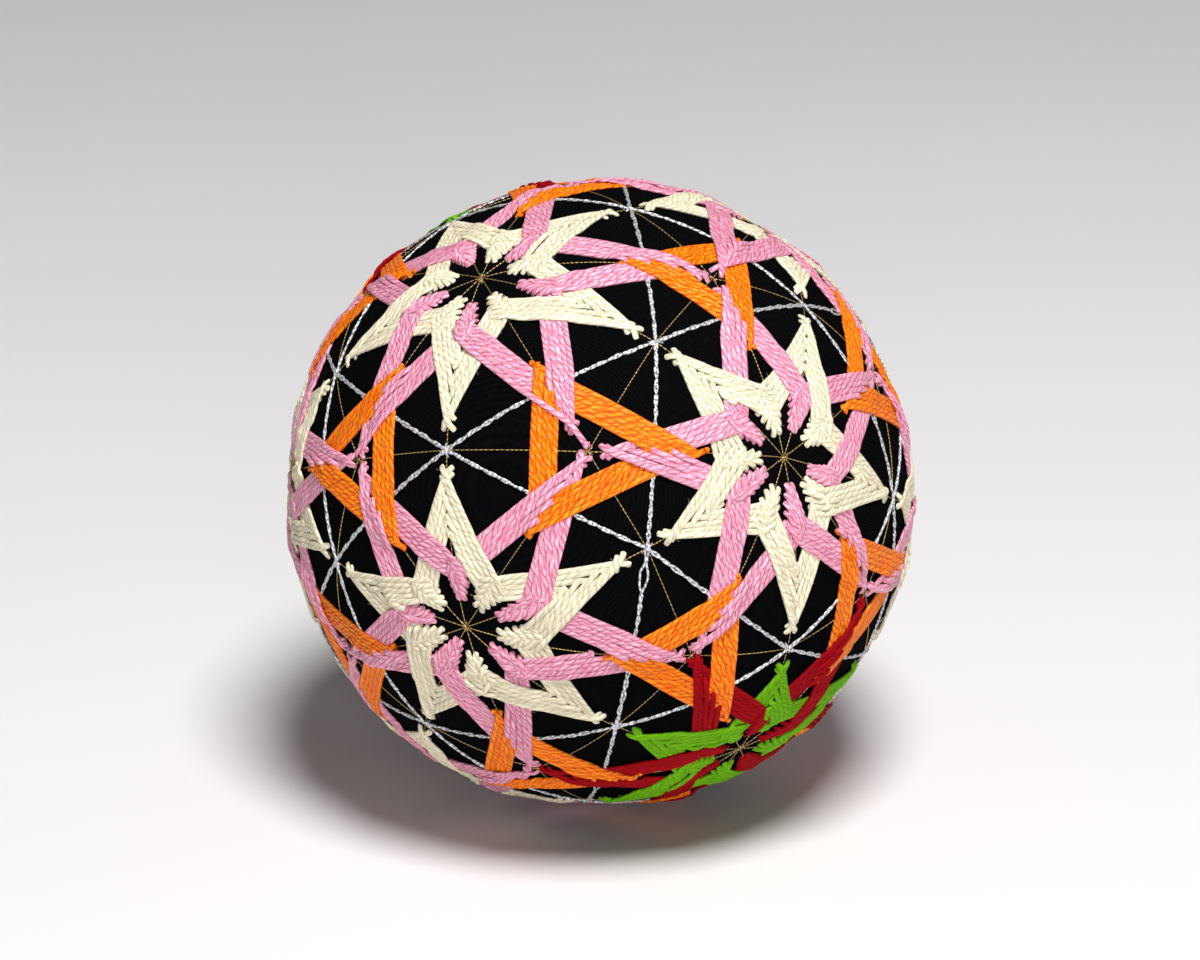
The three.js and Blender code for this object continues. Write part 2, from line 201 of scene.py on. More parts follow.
# Where the outermost row of a triangle ends, in mm from the triangle's middle, and how far
# that place follows a star that has moved in or out
CORNER_REACH = 13.9
CORNER_FOLLOWS = 0.35
CORNERS = {
    "ABC": {"A": 14.7, "B": 15.3, "C": 14.0},
    "BCD": {"B": 12.6, "C": 12.0, "D": 14.1},
    "ABE": {"A": 12.8, "B": 11.8, "E": 11.7},
    "ACF": {"A": 14.0, "C": 14.4},
}


# Directions on the ball


def unit(vector):
    return vector / np.linalg.norm(vector)


def units(vectors):
    return vectors / np.linalg.norm(vectors, axis=1, keepdims=True)


def direction(azimuth, elevation):
    azimuth, elevation = math.radians(azimuth), math.radians(elevation)
    return np.array([
        math.sin(azimuth) * math.cos(elevation),
        -math.cos(azimuth) * math.cos(elevation),
        math.sin(elevation),
    ])


def right_of(place):
    return unit(np.cross([0.0, 0.0, 1.0], place))


def up_of(place):
    return np.cross(place, right_of(place))


def moved(place, tangent, length):
    """place shifted over the ball by a length along a tangent."""
    angle = length / BALL_RADIUS
    return place * math.cos(angle) + unit(tangent) * math.sin(angle)


def at_bearing(place, bearing, angle):
    bearing = math.radians(bearing)
    tangent = up_of(place) * math.cos(bearing) + right_of(place) * math.sin(bearing)
    return moved(place, tangent, angle * BALL_RADIUS)


def distance(start, end):
    return math.acos(max(-1.0, min(1.0, float(np.dot(start, end))))) * BALL_RADIUS


def along(start, end, length):
    """The direction that lies a length from start towards end."""
    return moved(start, end - start * np.dot(start, end), length)


def aside(start, end, length, sideways, towards):
    """As along, then shifted off the ray to the side where towards lies."""
    across = unit(np.cross(start, end))
    if np.dot(across, towards) < 0:
        across = -across
    return moved(along(start, end, length), across, sideways)


def corner_angle(corner, one, two):
    """The angle at a corner between the ways to two places."""
    way_one = unit(one - corner * np.dot(corner, one))
    way_two = unit(two - corner * np.dot(corner, two))
    return math.acos(float(np.dot(way_one, way_two)))


def turned(start, end, degrees):
    """end turned about start, clockwise as seen from outside."""
    angle = -math.radians(degrees)
    parallel = start * np.dot(start, end)
    across = np.cross(start, end)
    return parallel + (end - parallel) * math.cos(angle) + across * math.sin(angle)


# The division: stars, crossing marks and middles


def drifted(name, place):
    if name not in DRIFTS:
        return place
    right, up = DRIFTS[name]
    tangent = (right_of(place) * right + up_of(place) * up) * MM
    return moved(place, tangent, np.linalg.norm(tangent))


def even_stars():
    near = direction(NEAR_STAR["azimuth"], NEAR_STAR["elevation"])
    stars = {NEAR_NAME: near, FAR_NAME: -near}
    for turn in range(5):
        bearing = FIRST_BEARING + turn * 72
        stars[RING_NAMES[turn]] = at_bearing(near, bearing, STAR_SPACING)
        stars[FAR_RING_NAMES[turn]] = at_bearing(near, bearing + 36, math.pi - STAR_SPACING)
    return stars


EVEN = even_stars()
STARS = {name: drifted(name, place) for name, place in EVEN.items()}


def mark_name(names):
    return "".join(sorted(names))


def shared_mark(names):
    """The crossing mark between two stars, or the middle of three."""
    name = mark_name(names)
    source = EVEN if name in DRIFTS else STARS
    return drifted(name, unit(sum(source[star] for star in names)))


def neighbours(name):
    """The five neighbours of a star, clockwise as seen from outside."""
    centre = EVEN[name]
    close = [
        other for other, place in EVEN.items()
        if 0.1 < math.acos(max(-1.0, min(1.0, float(np.dot(centre, place))))) < STAR_SPACING + 0.1
    ]
    right, up = right_of(centre), up_of(centre)
    return sorted(close, key=lambda s: math.atan2(np.dot(EVEN[s], right), np.dot(EVEN[s], up)))


def triangle_corners():
    """The twenty triples of neighbouring stars, clockwise as seen from outside."""
    found = []
    for name in EVEN:
        around = neighbours(name)
        for place, other in enumerate(around):
            corners = [name, other, around[(place + 1) % 5]]
            if name < corners[1] and name < corners[2]:
                found.append(corners)
    return found


# Threads: each one's way over the ball, from where it comes out of the winding to where
# it goes back in

LIGHT_LEFT, DARK_LEFT, TRIANGLE, DARK_RIGHT, LIGHT_RIGHT, DARK_OVER, TOP = range(7)

# Points whose dark arms both lie over the triangle and over the light arms
BOTH_OVER = [("E", "ABE")]

# One last row that was drawn over the others and fastened with a knot beside the mark
KNOTTED_ROW = ("A", "ABC", DARK_LEFT, ROWS - 1)
KNOT_BEFORE_MARK = 0.9 * MM
KNOT_LEAD_SAMPLES = 6


@dataclass
class Thread:
    piece: str
    comb: int
    level: float
    order: float
    way: np.ndarray
    heights: np.ndarray = field(default=None)


SAMPLE = 0.4 * MM


def arc_samples(points, step):
    """Points on the ball at even steps along the arcs between the given directions."""
    samples = [points[0]]
    for start, end in zip(points[:-1], points[1:]):
        length = distance(start, end)
        steps = max(1, round(length / step))
        for number in range(1, steps + 1):
            samples.append(along(start, end, length * number / steps))
    return np.array(samples)


def eased(samples, times):
    """Bends rounded as a taut thread rounds them, with both ends kept."""
    for _ in range(times):
        inner = (samples[:-2] + 2 * samples[1:-1] + samples[2:]) / 4
        samples = np.vstack([samples[:1], inner, samples[-1:]])
    return units(samples)


def row_value(pair, row, scale=1.0):
    return (pair[0] + pair[1] * row) * scale


random_numbers = np.random.default_rng(20)

# How unevenly a hand stitches: combs on the hidden side, single stitches and rows
COMB_START_SPREAD = 0.3 * MM
COMB_REACH_SPREAD = 0.4 * MM
COMB_TURN_SPREAD = 3.0
STITCH_SPREAD = 0.08 * MM
WIDTH_SPREAD = 0.05 * MM
ROW_SPREAD = 0.03 * MM

# How often the bends of a way are eased
STAR_BENDS = 6
TRIANGLE_BENDS = 4


def hand(spread):
    """A hand's small error."""
    return float(random_numbers.normal(0.0, spread))


def chance(low=0.0, high=1.0):
    return float(random_numbers.uniform(low, high))


@dataclass
class Comb:
    """Where a comb's first tooth and last crossing lie, and how far it is off its ray."""

    start: float
    reach: float
    turn: float

    def place(self, stitch, value):
        """A place along the comb's ray, from its even place."""
        first = stitch.comb_tooth[0]
        last = row_value(stitch.comb_crossing, ROWS - 1)
        return self.start + (value - first) * (self.reach - self.start) / (last - first)


def make_comb(stitch, star, mark, centre, comb_end):
    if mark in COMBS.get(star, {}):
        start, reach, turn = COMBS[star][mark]
        return Comb(start * MM, reach * MM, turn)
    scale = distance(centre, comb_end) / stitch.comb_ray
    start = stitch.comb_tooth[0] * scale + hand(COMB_START_SPREAD)
    reach = row_value(stitch.comb_crossing, ROWS - 1, scale) + hand(COMB_REACH_SPREAD)
    return Comb(start, reach, hand(COMB_TURN_SPREAD))


def star_way(stitch, centre, comb_end, point_end, row, comb, mark):
    """One row's way from a comb's tooth to a point's tooth."""
    comb_line = turned(centre, comb_end, comb.turn)
    tooth = comb.place(stitch, row_value(stitch.comb_tooth, row)) + hand(STITCH_SPREAD)
    width = row_value(stitch.comb_aside, row) + hand(WIDTH_SPREAD)
    comb_crossing = comb.place(stitch, row_value(stitch.comb_crossing, row))
    middle_crossing = comb.place(stitch, row_value(stitch.comb_crossing, MIDDLE_ROW))
    band_start = along(centre, comb_line, middle_crossing)
    reach = distance(centre, point_end)
    aim = reach - stitch.short_of_mark + POINT_SHIFTS.get(mark, 0.0) * MM
    half_angle = corner_angle(along(centre, point_end, reach), centre, band_start)
    row_step = POINT_PITCH / math.sin(half_angle)
    band_end = along(centre, point_end, aim - MIDDLE_ROW * row_step)
    last = reach - POINT_ENDS.get(mark, stitch.end_before_mark / MM) * MM
    last -= stitch.point_tooth + (ROWS - 1 - row) * POINT_END_STEP
    point_crossing = min(aim - (ROWS - 1 - row) * row_step, last) + hand(STITCH_SPREAD)
    width_past = stitch.point_asides[row] + hand(WIDTH_SPREAD)
    outwards = unit(np.cross(band_start, band_end))
    if np.dot(outwards, centre) > 0:
        outwards = -outwards
    length = distance(band_start, band_end)
    stations = [
        moved(
            along(band_start, band_end, length * place),
            outwards,
            (row - MIDDLE_ROW) * pitch + hand(ROW_SPREAD),
        )
        for place, pitch in zip(stitch.pitch_places, stitch.pitches)
    ]
    points = [
        aside(centre, comb_line, tooth, -width, point_end),
        along(centre, comb_line, comb_crossing),
        *stations,
        along(centre, point_end, point_crossing),
        aside(centre, point_end, point_crossing + stitch.point_tooth, -width_past, comb_end),
    ]
    return eased(arc_samples(points, SAMPLE), STAR_BENDS)


def star_threads(name):
    """All threads of one star's light and dark layers."""
    centre = STARS[name]
    around = neighbours(name)
    light_name = "green" if name in SECOND_COLOURWAY else "cream"
    dark_name = "red" if name in SECOND_COLOURWAY else "pink"
    crossings = [shared_mark([name, other]) for other in around]
    middles = [shared_mark([name, around[i], around[(i + 1) % 5]]) for i in range(5)]
    light_combs = []
    dark_combs = []
    for ray in range(5):
        light_mark = mark_name([name, around[ray], around[(ray + 1) % 5]])
        dark_mark = mark_name([name, around[ray]])
        light_combs.append(make_comb(LIGHT_STITCH, name, light_mark, centre, middles[ray]))
        dark_combs.append(make_comb(DARK_STITCH, name, dark_mark, centre, crossings[ray]))
    threads = []
    for row in range(ROWS):
        for ray in range(5):
            before = (ray + 4) % 5
            bands = [
                (LIGHT_STITCH, LIGHT_LEFT, before, middles[before], crossings[ray], 0.5),
                (LIGHT_STITCH, LIGHT_RIGHT, ray, middles[ray], crossings[ray], 1.0),
                (DARK_STITCH, DARK_RIGHT, ray, crossings[ray], middles[ray], 0.5),
                (DARK_STITCH, DARK_LEFT, ray, crossings[ray], middles[before], 1.0),
            ]
            for stitch, level, comb, comb_end, point_end, later in bands:
                light = stitch is LIGHT_STITCH
                combs = light_combs if light else dark_combs
                third = around[(ray + 1) % 5] if level == DARK_RIGHT else around[before]
                mark = mark_name([name, around[ray]] if light else [name, around[ray], third])
                way = star_way(
                    stitch, centre, comb_end, point_end, row, combs[comb], (name, mark)
                )
                piece = f"{light_name if light else dark_name}_star_{name}"
                threads.append(Thread(piece, comb, level, row + later, way))
                if (name, mark) in BOTH_OVER:
                    threads[-1].level = DARK_OVER
                if (name, mark, level, row) == KNOTTED_ROW:
                    turn = way[-KNOT_LEAD_SAMPLES]
                    lead = [turn, along(shared_mark(mark), way[-1], KNOT_BEFORE_MARK)]
                    lead = eased(arc_samples(lead, SAMPLE), 1)
                    threads[-1].way = np.vstack([way[:-KNOT_LEAD_SAMPLES], lead])
                    threads[-1].level = TOP
    return threads


def triangle_threads(corners):
    """The rows of one triangle, three sides to a row."""
    middle = shared_mark(corners)
    piece = "orange_triangle_" + mark_name(corners)
    places = [STARS[corner] for corner in corners]
    name = mark_name(corners)
    turns = []
    for corner, place in zip(corners, places):
        reach = CORNER_REACH + CORNER_FOLLOWS * (distance(middle, place) - MIDDLE_RAY) / MM
        reach = CORNERS.get(name, {}).get(corner, reach) * MM
        inner = 2 * SIDE_PITCH * MIDDLE_ROW + CORNER_TOOTH
        turns.append(along(middle, place, reach - inner))
    threads = []
    for row in range(ROWS):
        for side in range(3):
            pair = (side, (side + 1) % 3)
            start, end = turns[pair[0]], turns[pair[1]]
            outwards = unit(np.cross(start, end))
            if np.dot(outwards, middle) > 0:
                outwards = -outwards
            shift = (row - MIDDLE_ROW) * SIDE_PITCH
            points = []
            for near, far in (pair, pair[::-1]):
                half_angle = corner_angle(turns[near], middle, turns[far])
                crossing = distance(middle, turns[near]) + shift / math.sin(half_angle)
                crossing += hand(STITCH_SPREAD)
                width_past = CORNER_ASIDES[row] + hand(WIDTH_SPREAD)
                points.append([
                    aside(middle, places[near], crossing + CORNER_TOOTH, -width_past, places[far]),
                    along(middle, places[near], crossing),
                ])
            stations = [
                moved(along(start, end, distance(start, end) * place), outwards, shift)
                for place in SIDE_STATIONS
            ]
            way = [points[0][0], points[0][1], *stations, points[1][1], points[1][0]]
            samples = eased(arc_samples(way, SAMPLE), TRIANGLE_BENDS)
            threads.append(Thread(piece, 0, TRIANGLE, row + side / 3, samples))
    return threads


# Laying the threads over one another

CROSSING_RISE = 0.36 * MM
PLAIT_RISE = 0.11 * MM
TOUCHING = 0.60 * MM
SOFT_STACK = 2.4 * MM
LAY_ROUNDS = 14

# Above this height a plait and a band each lie over the other, so the plait gives way
SNARLED = 1.3 * MM
LIFT_RADIUS = 3.5 * MM
LIFT_REACH = 7


def lies_over(one, two):
    """True where the first thread lies over the second one."""
    if one.piece == two.piece and one.comb == two.comb:
        return one.order > two.order
    if one.level != two.level:
        return one.level > two.level
    return (one.piece, one.order) > (two.piece, two.order)


def touching_pairs(threads, points, owner):
    """Upper sample, lower sample, the rise between them and whether both are of one
    piece, for all that meet."""
    tree = KDTree(len(points))
    for number, point in enumerate(points):
        tree.insert(point, number)
    tree.balance()
    upper, lower, rise, plaited = [], [], [], []
    for number, point in enumerate(points):
        own = owner[number]
        for _, other, gap in tree.find_range(point, TOUCHING):
            if other <= number or owner[other] == own:
                continue
            one, two = threads[own], threads[owner[other]]
            over = lies_over(one, two)
            upper.append(number if over else other)
            lower.append(other if over else number)
            plaited.append(one.piece == two.piece)
            full = PLAIT_RISE if plaited[-1] else CROSSING_RISE
            rise.append(full * math.sqrt(max(0.0, 1 - (gap / TOUCHING) ** 2)))
    return np.array(upper), np.array(lower), np.array(rise), np.array(plaited)


def lifted(heights, starts):
    """Each thread's heights with a taut thread's long rise up to what it passes over."""
    result = heights.copy()
    for shift in range(1, LIFT_REACH + 1):
        drop = (shift * SAMPLE) ** 2 / (2 * LIFT_RADIUS)
        forward = np.roll(heights, shift) - drop
        backward = np.roll(heights, -shift) - drop
        forward[starts["from_start"] < shift] = 0
        backward[starts["to_end"] < shift] = 0
        result = np.maximum(result, np.maximum(forward, backward))
    return result


def settled(base, upper, lower, rise):
    """Heights at which every sample lies on the samples under it, none below the base."""
    heights = base.copy()
    for _ in range(LAY_ROUNDS):
        needed = base.copy()
        np.maximum.at(needed, upper, heights[lower] + rise)
        heights = needed
    return heights


def lay_threads(threads):
    """Gives each thread its height over the ball along its way."""
    counts = [len(thread.way) for thread in threads]
    points = np.vstack([thread.way for thread in threads]) * BALL_RADIUS
    owner = np.repeat(np.arange(len(threads)), counts)
    from_start = np.concatenate([np.arange(count) for count in counts])
    to_end = np.concatenate([np.arange(count)[::-1] for count in counts])
    ends = {"from_start": from_start, "to_end": to_end}
    upper, lower, rise, plaited = touching_pairs(threads, points, owner.tolist())
    flat = np.full(len(points), THREAD_HALF_HEIGHT)
    heights = settled(flat, upper, lower, rise)
    kept = ~(plaited & (heights[upper] > SNARLED))
    pairs = (upper[kept], lower[kept], rise[kept])
    heights = settled(flat, *pairs)
    heights = settled(lifted(heights, ends), *pairs)
    above = heights - THREAD_HALF_HEIGHT
    heights = THREAD_HALF_HEIGHT + SOFT_STACK * (1 - np.exp(-above / SOFT_STACK))
    for thread, part in zip(threads, np.split(heights, np.cumsum(counts)[:-1])):
        thread.heights = part


# Strands as meshes

DIP = 0.45 * MM
DIP_SAMPLES = 3
FLOOR_LAYER = 1.15 * MM
FLOOR_SQUEEZE = 0.8
STRAND_ANGLES = np.radians([-24, 20, 55, 90, 125, 160, 204])
SECTION_POWER = 0.8


def on_ball(directions, heights):
    return BALL_CENTRE + directions * (BALL_RADIUS + heights)[:, None]


def pressed(points, heights):
    """Threads under the ball are pressed flat: the outer ones on the floor."""
    result = points.copy()
    room = np.maximum(0, FLOOR_LAYER - heights) * FLOOR_SQUEEZE
    result[:, 2] = np.maximum(points[:, 2], THREAD_HALF_HEIGHT + room)
    return result


def centre_line(thread):
    """A thread's centre line for its mesh, with both ends dipping into the winding."""
    heights = thread.heights.copy()
    for number in range(DIP_SAMPLES):
        share = ((DIP_SAMPLES - number) / DIP_SAMPLES) ** 2
        for place in (number, len(heights) - 1 - number):
            heights[place] -= (heights[place] + DIP) * share
    points = pressed(on_ball(thread.way, heights), heights)
    inner = list(range(DIP_SAMPLES, len(points) - DIP_SAMPLES, 2))
    last = len(points) - DIP_SAMPLES
    chosen = [*range(DIP_SAMPLES), *inner, *range(last, len(points))]
    return points[chosen]


def strand_axes(points):
    """Unit vectors ahead along a centre line, and to its side along the ball."""
    ahead = units(np.gradient(points, axis=0))
    return ahead, units(np.cross(ahead, points - BALL_CENTRE))


def strand_rings(points, half_width, half_height, angles):
    """Rings of points round a centre line, flattened against the ball."""
    ahead, side = strand_axes(points)
    over = np.cross(side, ahead)
    wide, high = np.cos(angles), np.sin(angles)
    wide = np.sign(wide) * np.abs(wide) ** SECTION_POWER
    high = np.sign(high) * np.abs(high) ** SECTION_POWER
    across = wide[None, :, None] * side[:, None, :] * half_width
    rise = high[None, :, None] * over[:, None, :] * half_height
    return points[:, None, :] + across + rise


@dataclass
class MeshParts:
    """Vertices, quads and triangles gathered for one joined mesh."""

    points: list = field(default_factory=list)
    faces: list = field(default_factory=list)
    uvs: list = field(default_factory=list)
    tints: list = field(default_factory=list)
    count: int = 0


def add_strand(parts, rings, tint):
    """Adds a closed tube of rings. UV runs round the strand and along it, in mm."""
    steps, around = rings.shape[:2]
    middles = rings.mean(axis=1)
    lengths = np.concatenate([[0], np.cumsum(np.linalg.norm(np.diff(middles, axis=0), axis=1))])
    lengths = lengths / MM
    step = np.arange(steps - 1)[:, None]
    place = np.arange(around)[None, :]
    after = (place + 1) % around
    base = parts.count
    quads = np.stack([
        base + step * around + place,
        base + step * around + after,
        base + (step + 1) * around + after,
        base + (step + 1) * around + place,
    ], axis=-1).reshape(-1, 4)
    turn = np.broadcast_to(place / around, (steps - 1, around))
    turn_after = turn + 1 / around
    near = np.broadcast_to(lengths[:-1, None], (steps - 1, around))
    far = np.broadcast_to(lengths[1:, None], (steps - 1, around))
    uvs = np.stack([
        np.stack([turn, near], -1),
        np.stack([turn_after, near], -1),
        np.stack([turn_after, far], -1),
        np.stack([turn, far], -1),
    ], axis=2).reshape(-1, 2)
    parts.points.append(rings.reshape(-1, 3))
    parts.faces.append(quads)
    parts.uvs.append(uvs)
    parts.tints.append(np.full(steps * around, tint))
    first = base + np.arange(around)[::-1]
    last = base + (steps - 1) * around + np.arange(around)
    parts.faces.append(first[None, :])
    parts.faces.append(last[None, :])
    parts.uvs.append(np.tile([0.0, lengths[0]], (around, 1)))
    parts.uvs.append(np.tile([0.0, lengths[-1]], (around, 1)))
    parts.count += steps * around


def make_mesh_object(name, parts, material):
    """One joined object from the gathered parts."""
    corners = np.concatenate([faces.reshape(-1) for faces in parts.faces])
    sizes = np.concatenate([np.full(len(faces), faces.shape[1]) for faces in parts.faces])
    points = np.concatenate(parts.points)
    mesh = bpy.data.meshes.new(name)
    mesh.vertices.add(len(points))
    mesh.vertices.foreach_set("co", points.astype(np.float32).ravel())
    mesh.loops.add(len(corners))
    mesh.loops.foreach_set("vertex_index", corners.astype(np.int32))
    mesh.polygons.add(len(sizes))
    starts = np.concatenate([[0], np.cumsum(sizes)[:-1]])
    mesh.polygons.foreach_set("loop_start", starts.astype(np.int32))
    mesh.polygons.foreach_set("use_smooth", np.ones(len(sizes), dtype=bool))
    mesh.update(calc_edges=True)
    uv_layer = mesh.uv_layers.new(name="strand")
    uv_layer.data.foreach_set("uv", np.concatenate(parts.uvs).astype(np.float32).ravel())
    tint = mesh.attributes.new("tint", "FLOAT", "POINT")
    tint.data.foreach_set("value", np.concatenate(parts.tints).astype(np.float32))
    mesh.validate()
    mesh.materials.append(material)
    piece = bpy.data.objects.new(name, mesh)
    bpy.context.collection.objects.link(piece)
    return piece


def finished(piece, slot, *nodes):
    """Rides a finished piece on the ball and hides its solids. The slot is not used."""
    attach(piece, "root")
    if nodes:
        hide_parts(*nodes)


# Materials


def new_material(name):
    material = bpy.data.materials.new(name)
    material.use_nodes = True
    tree = material.node_tree
    return material, tree, tree.nodes["Principled BSDF"]


def math_node(tree, operation, *values):
    node = tree.nodes.new("ShaderNodeMath")
    node.operation = operation
    for number, value in enumerate(values):
        if isinstance(value, (int, float)):
            node.inputs[number].default_value = value
        else:
            tree.links.new(value, node.inputs[number])
    return node.outputs[0]


def mixed_colour(tree, factor, one, two, blend="MIX"):
    node = tree.nodes.new("ShaderNodeMix")
    node.data_type = "RGBA"
    node.blend_type = blend
    for socket, value in ((node.inputs[0], factor), (node.inputs[6], one), (node.inputs[7], two)):
        if isinstance(value, (int, float)):
            socket.default_value = value
        elif isinstance(value, tuple):
            socket.default_value = (*value, 1.0)
        else:
            tree.links.new(value, socket)
    return node.outputs[2]


def vector_node(tree, *values):
    node = tree.nodes.new("ShaderNodeCombineXYZ")
    for number, value in enumerate(values):
        tree.links.new(value, node.inputs[number])
    return node.outputs[0]


def noise_node(tree, place, scale, detail, dimensions="3D"):
    node = tree.nodes.new("ShaderNodeTexNoise")
    node.noise_dimensions = dimensions
    node.inputs["Scale"].default_value = scale
    node.inputs["Detail"].default_value = detail
    tree.links.new(place, node.inputs["Vector"])
    return node.outputs["Fac"]


def add_relief(tree, shader, height, distance):
    bump = tree.nodes.new("ShaderNodeBump")
    bump.inputs["Distance"].default_value = distance
    tree.links.new(height, bump.inputs["Height"])
    tree.links.new(bump.outputs["Normal"], shader.inputs["Normal"])


def socket(tree, name, in_out, kind, value=None):
    made = tree.interface.new_socket(name=name, in_out=in_out, socket_type=kind)
    if value is not None:
        made.default_value = value


# How much the twist differs from thread to thread, and wanders along each, in turns
TWIST_SPREAD = 0.4
TWIST_WANDER = 0.9
WANDER_SCALE = 0.45
PLY_ROUNDNESS = 0.55

# Fibres: how fine they are across the plies and along the thread, how clearly they show,
# and how far they stand out
FIBRES_ACROSS = 2.6
FIBRES_ALONG = 0.6
FIBRE_SCALE = 1.6
FIBRE_CONTRAST = (0.3, 0.7)
FIBRE_RELIEF = 0.3

# The threads' tints, spread so that no two threads share a piece of noise
WANDER_TINTS = 90.0
FIBRE_TINTS = 40.0


def twist_group():
    """Twisted plies of a stitching thread, from its UV: round the strand and along it."""
    tree = bpy.data.node_groups.new("Twisted plies", "ShaderNodeTree")
    socket(tree, "Strand UV", "INPUT", "NodeSocketVector")
    for name, value in (("Plies", 2.0), ("Twist length", 2.2), ("Slant", 1.4), ("Tint", 0.5)):
        socket(tree, name, "INPUT", "NodeSocketFloat", value)
    for name in ("Height", "Groove", "Fibres"):
        socket(tree, name, "OUTPUT", "NodeSocketFloat")
    given = tree.nodes.new("NodeGroupInput").outputs
    result = tree.nodes.new("NodeGroupOutput").inputs
    split = tree.nodes.new("ShaderNodeSeparateXYZ")
    tree.links.new(given["Strand UV"], split.inputs[0])
    around, ahead = split.outputs["X"], split.outputs["Y"]

    spread = math_node(tree, "MULTIPLY", given["Tint"], TWIST_SPREAD)
    stretch = math_node(tree, "ADD", spread, 1 - TWIST_SPREAD / 2)
    own_length = math_node(tree, "MULTIPLY", given["Twist length"], stretch)
    even_turns = math_node(tree, "DIVIDE", ahead, own_length)
    own_tint = math_node(tree, "MULTIPLY", given["Tint"], WANDER_TINTS)
    wander = noise_node(tree, vector_node(tree, ahead, own_tint), WANDER_SCALE, 1.0, "2D")
    wander = math_node(tree, "MULTIPLY", wander, TWIST_WANDER)
    turns = math_node(tree, "ADD", even_turns, wander)
    slanted = math_node(tree, "MULTIPLY", around, given["Slant"])
    winding = math_node(tree, "SUBTRACT", turns, slanted)
    shifted = math_node(tree, "ADD", winding, given["Tint"])
    phase = math_node(tree, "MULTIPLY", shifted, given["Plies"])
    wave = math_node(tree, "SINE", math_node(tree, "MULTIPLY", phase, math.pi))
    ply = math_node(tree, "POWER", math_node(tree, "ABSOLUTE", wave), PLY_ROUNDNESS)

    fibre_place = vector_node(
        tree,
        math_node(tree, "MULTIPLY", phase, FIBRES_ACROSS),
        math_node(tree, "MULTIPLY", ahead, FIBRES_ALONG),
        math_node(tree, "MULTIPLY", given["Tint"], FIBRE_TINTS),
    )
    clear = tree.nodes.new("ShaderNodeMapRange")
    clear.inputs["From Min"].default_value = FIBRE_CONTRAST[0]
    clear.inputs["From Max"].default_value = FIBRE_CONTRAST[1]
    tree.links.new(noise_node(tree, fibre_place, FIBRE_SCALE, 3.0), clear.inputs["Value"])
    fibres = clear.outputs["Result"]
    strands = math_node(tree, "MULTIPLY", fibres, FIBRE_RELIEF)
    tree.links.new(math_node(tree, "ADD", ply, strands), result["Height"])
    tree.links.new(math_node(tree, "SUBTRACT", 1.0, ply), result["Groove"])
    tree.links.new(fibres, result["Fibres"])
    return tree


TWISTED_PLIES = twist_group()


def strand_twist(tree, twist_length):
    """The twisted plies on a material's strands, and the strands' tint."""
    uv = tree.nodes.new("ShaderNodeUVMap")
    uv.uv_map = "strand"
    tint = tree.nodes.new("ShaderNodeAttribute")
    tint.attribute_name = "tint"
    twist = tree.nodes.new("ShaderNodeGroup")
    twist.node_tree = TWISTED_PLIES
    twist.inputs["Twist length"].default_value = twist_length
    tree.links.new(uv.outputs["UV"], twist.inputs["Strand UV"])
    tree.links.new(tint.outputs["Fac"], twist.inputs["Tint"])
    return twist, tint.outputs["Fac"]


# The plies cross a thread at the same slant, however long their twist: mm for each turn
SLANT_LENGTH = 3.2
# How much of the painted highlight colour goes onto the fibres of the plies' crowns
LIT_SHARE = 0.75
DARKEST_THREAD = 0.90
THREAD_TONES = 0.16
ROUGH_FIBRES = 0.2
SHEEN_ROUGHNESS = 0.4


def thread_material(name, body, deep, light, roughness, sheen, shine, bump, twist_length, groove_shade_strength):
    """A stitching thread: plies twisted together, with painted shade in the grooves between them
    and painted highlights on the plies' crowns.
    """
    material, tree, shader = new_material(name)
    twist, tint = strand_twist(tree, twist_length)
    twist.inputs["Slant"].default_value = SLANT_LENGTH / twist_length
    # Painted shade: the grooves between the plies take the darker groove colour.
    groove = math_node(tree, "MULTIPLY", twist.outputs["Groove"], groove_shade_strength)
    plied = mixed_colour(tree, groove, body, deep)
    # Painted highlight: the light colour goes onto the fibres of the plies' crowns.
    crown = math_node(tree, "SUBTRACT", 1.0, twist.outputs["Groove"])
    fibre = math_node(tree, "MULTIPLY", twist.outputs["Fibres"], crown)
    lit = mixed_colour(tree, math_node(tree, "MULTIPLY", fibre, LIT_SHARE), plied, light)
    tone = math_node(tree, "MULTIPLY", tint, THREAD_TONES)
    shade = math_node(tree, "ADD", tone, DARKEST_THREAD)
    grey = vector_node(tree, shade, shade, shade)
    toned = mixed_colour(tree, 1.0, lit, grey, "MULTIPLY")
    tree.links.new(toned, shader.inputs["Base Color"])
    rough = math_node(tree, "MULTIPLY", twist.outputs["Fibres"], ROUGH_FIBRES)
    rough = math_node(tree, "ADD", rough, roughness - ROUGH_FIBRES / 2)
    tree.links.new(rough, shader.inputs["Roughness"])
    shader.inputs["Sheen Weight"].default_value = sheen
    shader.inputs["Sheen Roughness"].default_value = SHEEN_ROUGHNESS
    shader.inputs["Specular IOR Level"].default_value = shine
    add_relief(tree, shader, twist.outputs["Height"], bump)
    return material


FOIL_RELIEF = 0.08 * MM
FOIL_ROUGHNESS_SPREAD = 0.3


def metal_thread_material(name, bright, dark, roughness, metallic, twist_length):
    """Foil wrapped round a core: bright turns with dark gaps between them."""
    material, tree, shader = new_material(name)
    twist, _ = strand_twist(tree, twist_length)
    twist.inputs["Plies"].default_value = 1.0
    glitter = math_node(tree, "POWER", twist.outputs["Fibres"], 2.0)
    foil = mixed_colour(tree, twist.outputs["Groove"], bright, dark)
    foil = mixed_colour(tree, glitter, foil, dark)
    tree.links.new(foil, shader.inputs["Base Color"])
    shader.inputs["Metallic"].default_value = metallic
    rough = math_node(tree, "MULTIPLY", twist.outputs["Fibres"], FOIL_ROUGHNESS_SPREAD)
    rough = math_node(tree, "ADD", rough, roughness)
    tree.links.new(rough, shader.inputs["Roughness"])
    add_relief(tree, shader, twist.outputs["Height"], FOIL_RELIEF)
    return material
